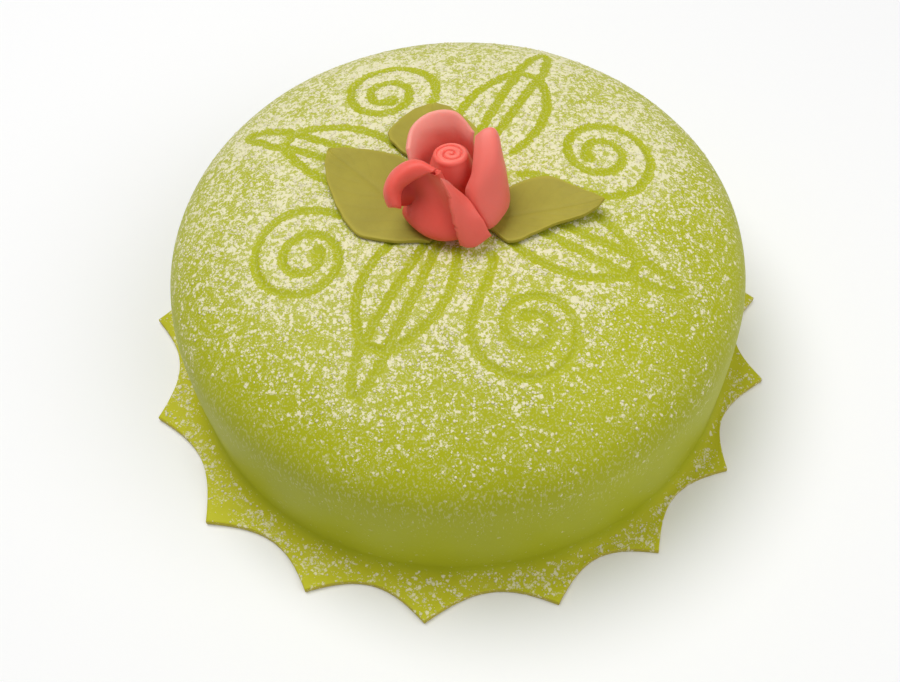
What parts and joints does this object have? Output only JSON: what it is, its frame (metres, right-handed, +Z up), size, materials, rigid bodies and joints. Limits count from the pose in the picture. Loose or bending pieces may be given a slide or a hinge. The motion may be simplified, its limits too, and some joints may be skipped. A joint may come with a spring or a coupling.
{
  "type": "princess cake",
  "caption": "Domed princess cake under rolled green marzipan, with a pressed scroll and leaf ornament, a scalloped skirt, a pink marzipan rose and three leaves.",
  "frame": {"origin": "on the surface the cake stands on, below the middle of the skirt's outline", "axes": "+Z up through the dome, -Y towards the front, where the leaf motif and the scroll lie side by side, +X to the right"},
  "size_m": [0.2494, 0.2518, 0.1206],
  "materials": {
    "green_marzipan": "rolled marzipan, satin, dusted with icing sugar",
    "leaf_marzipan": "rolled marzipan, satin",
    "rose_marzipan": "moulded marzipan, soft sheen"
  },
  "bodies": {
    "root": {"cake": "green_marzipan", "leaf_left": "leaf_marzipan", "leaf_right": "leaf_marzipan", "leaf_back": "leaf_marzipan", "rose_bud": "rose_marzipan", "petal_back": "rose_marzipan", "petal_right": "rose_marzipan", "petal_left": "rose_marzipan", "petal_fold": "rose_marzipan"}
  },
  "joints": []
}
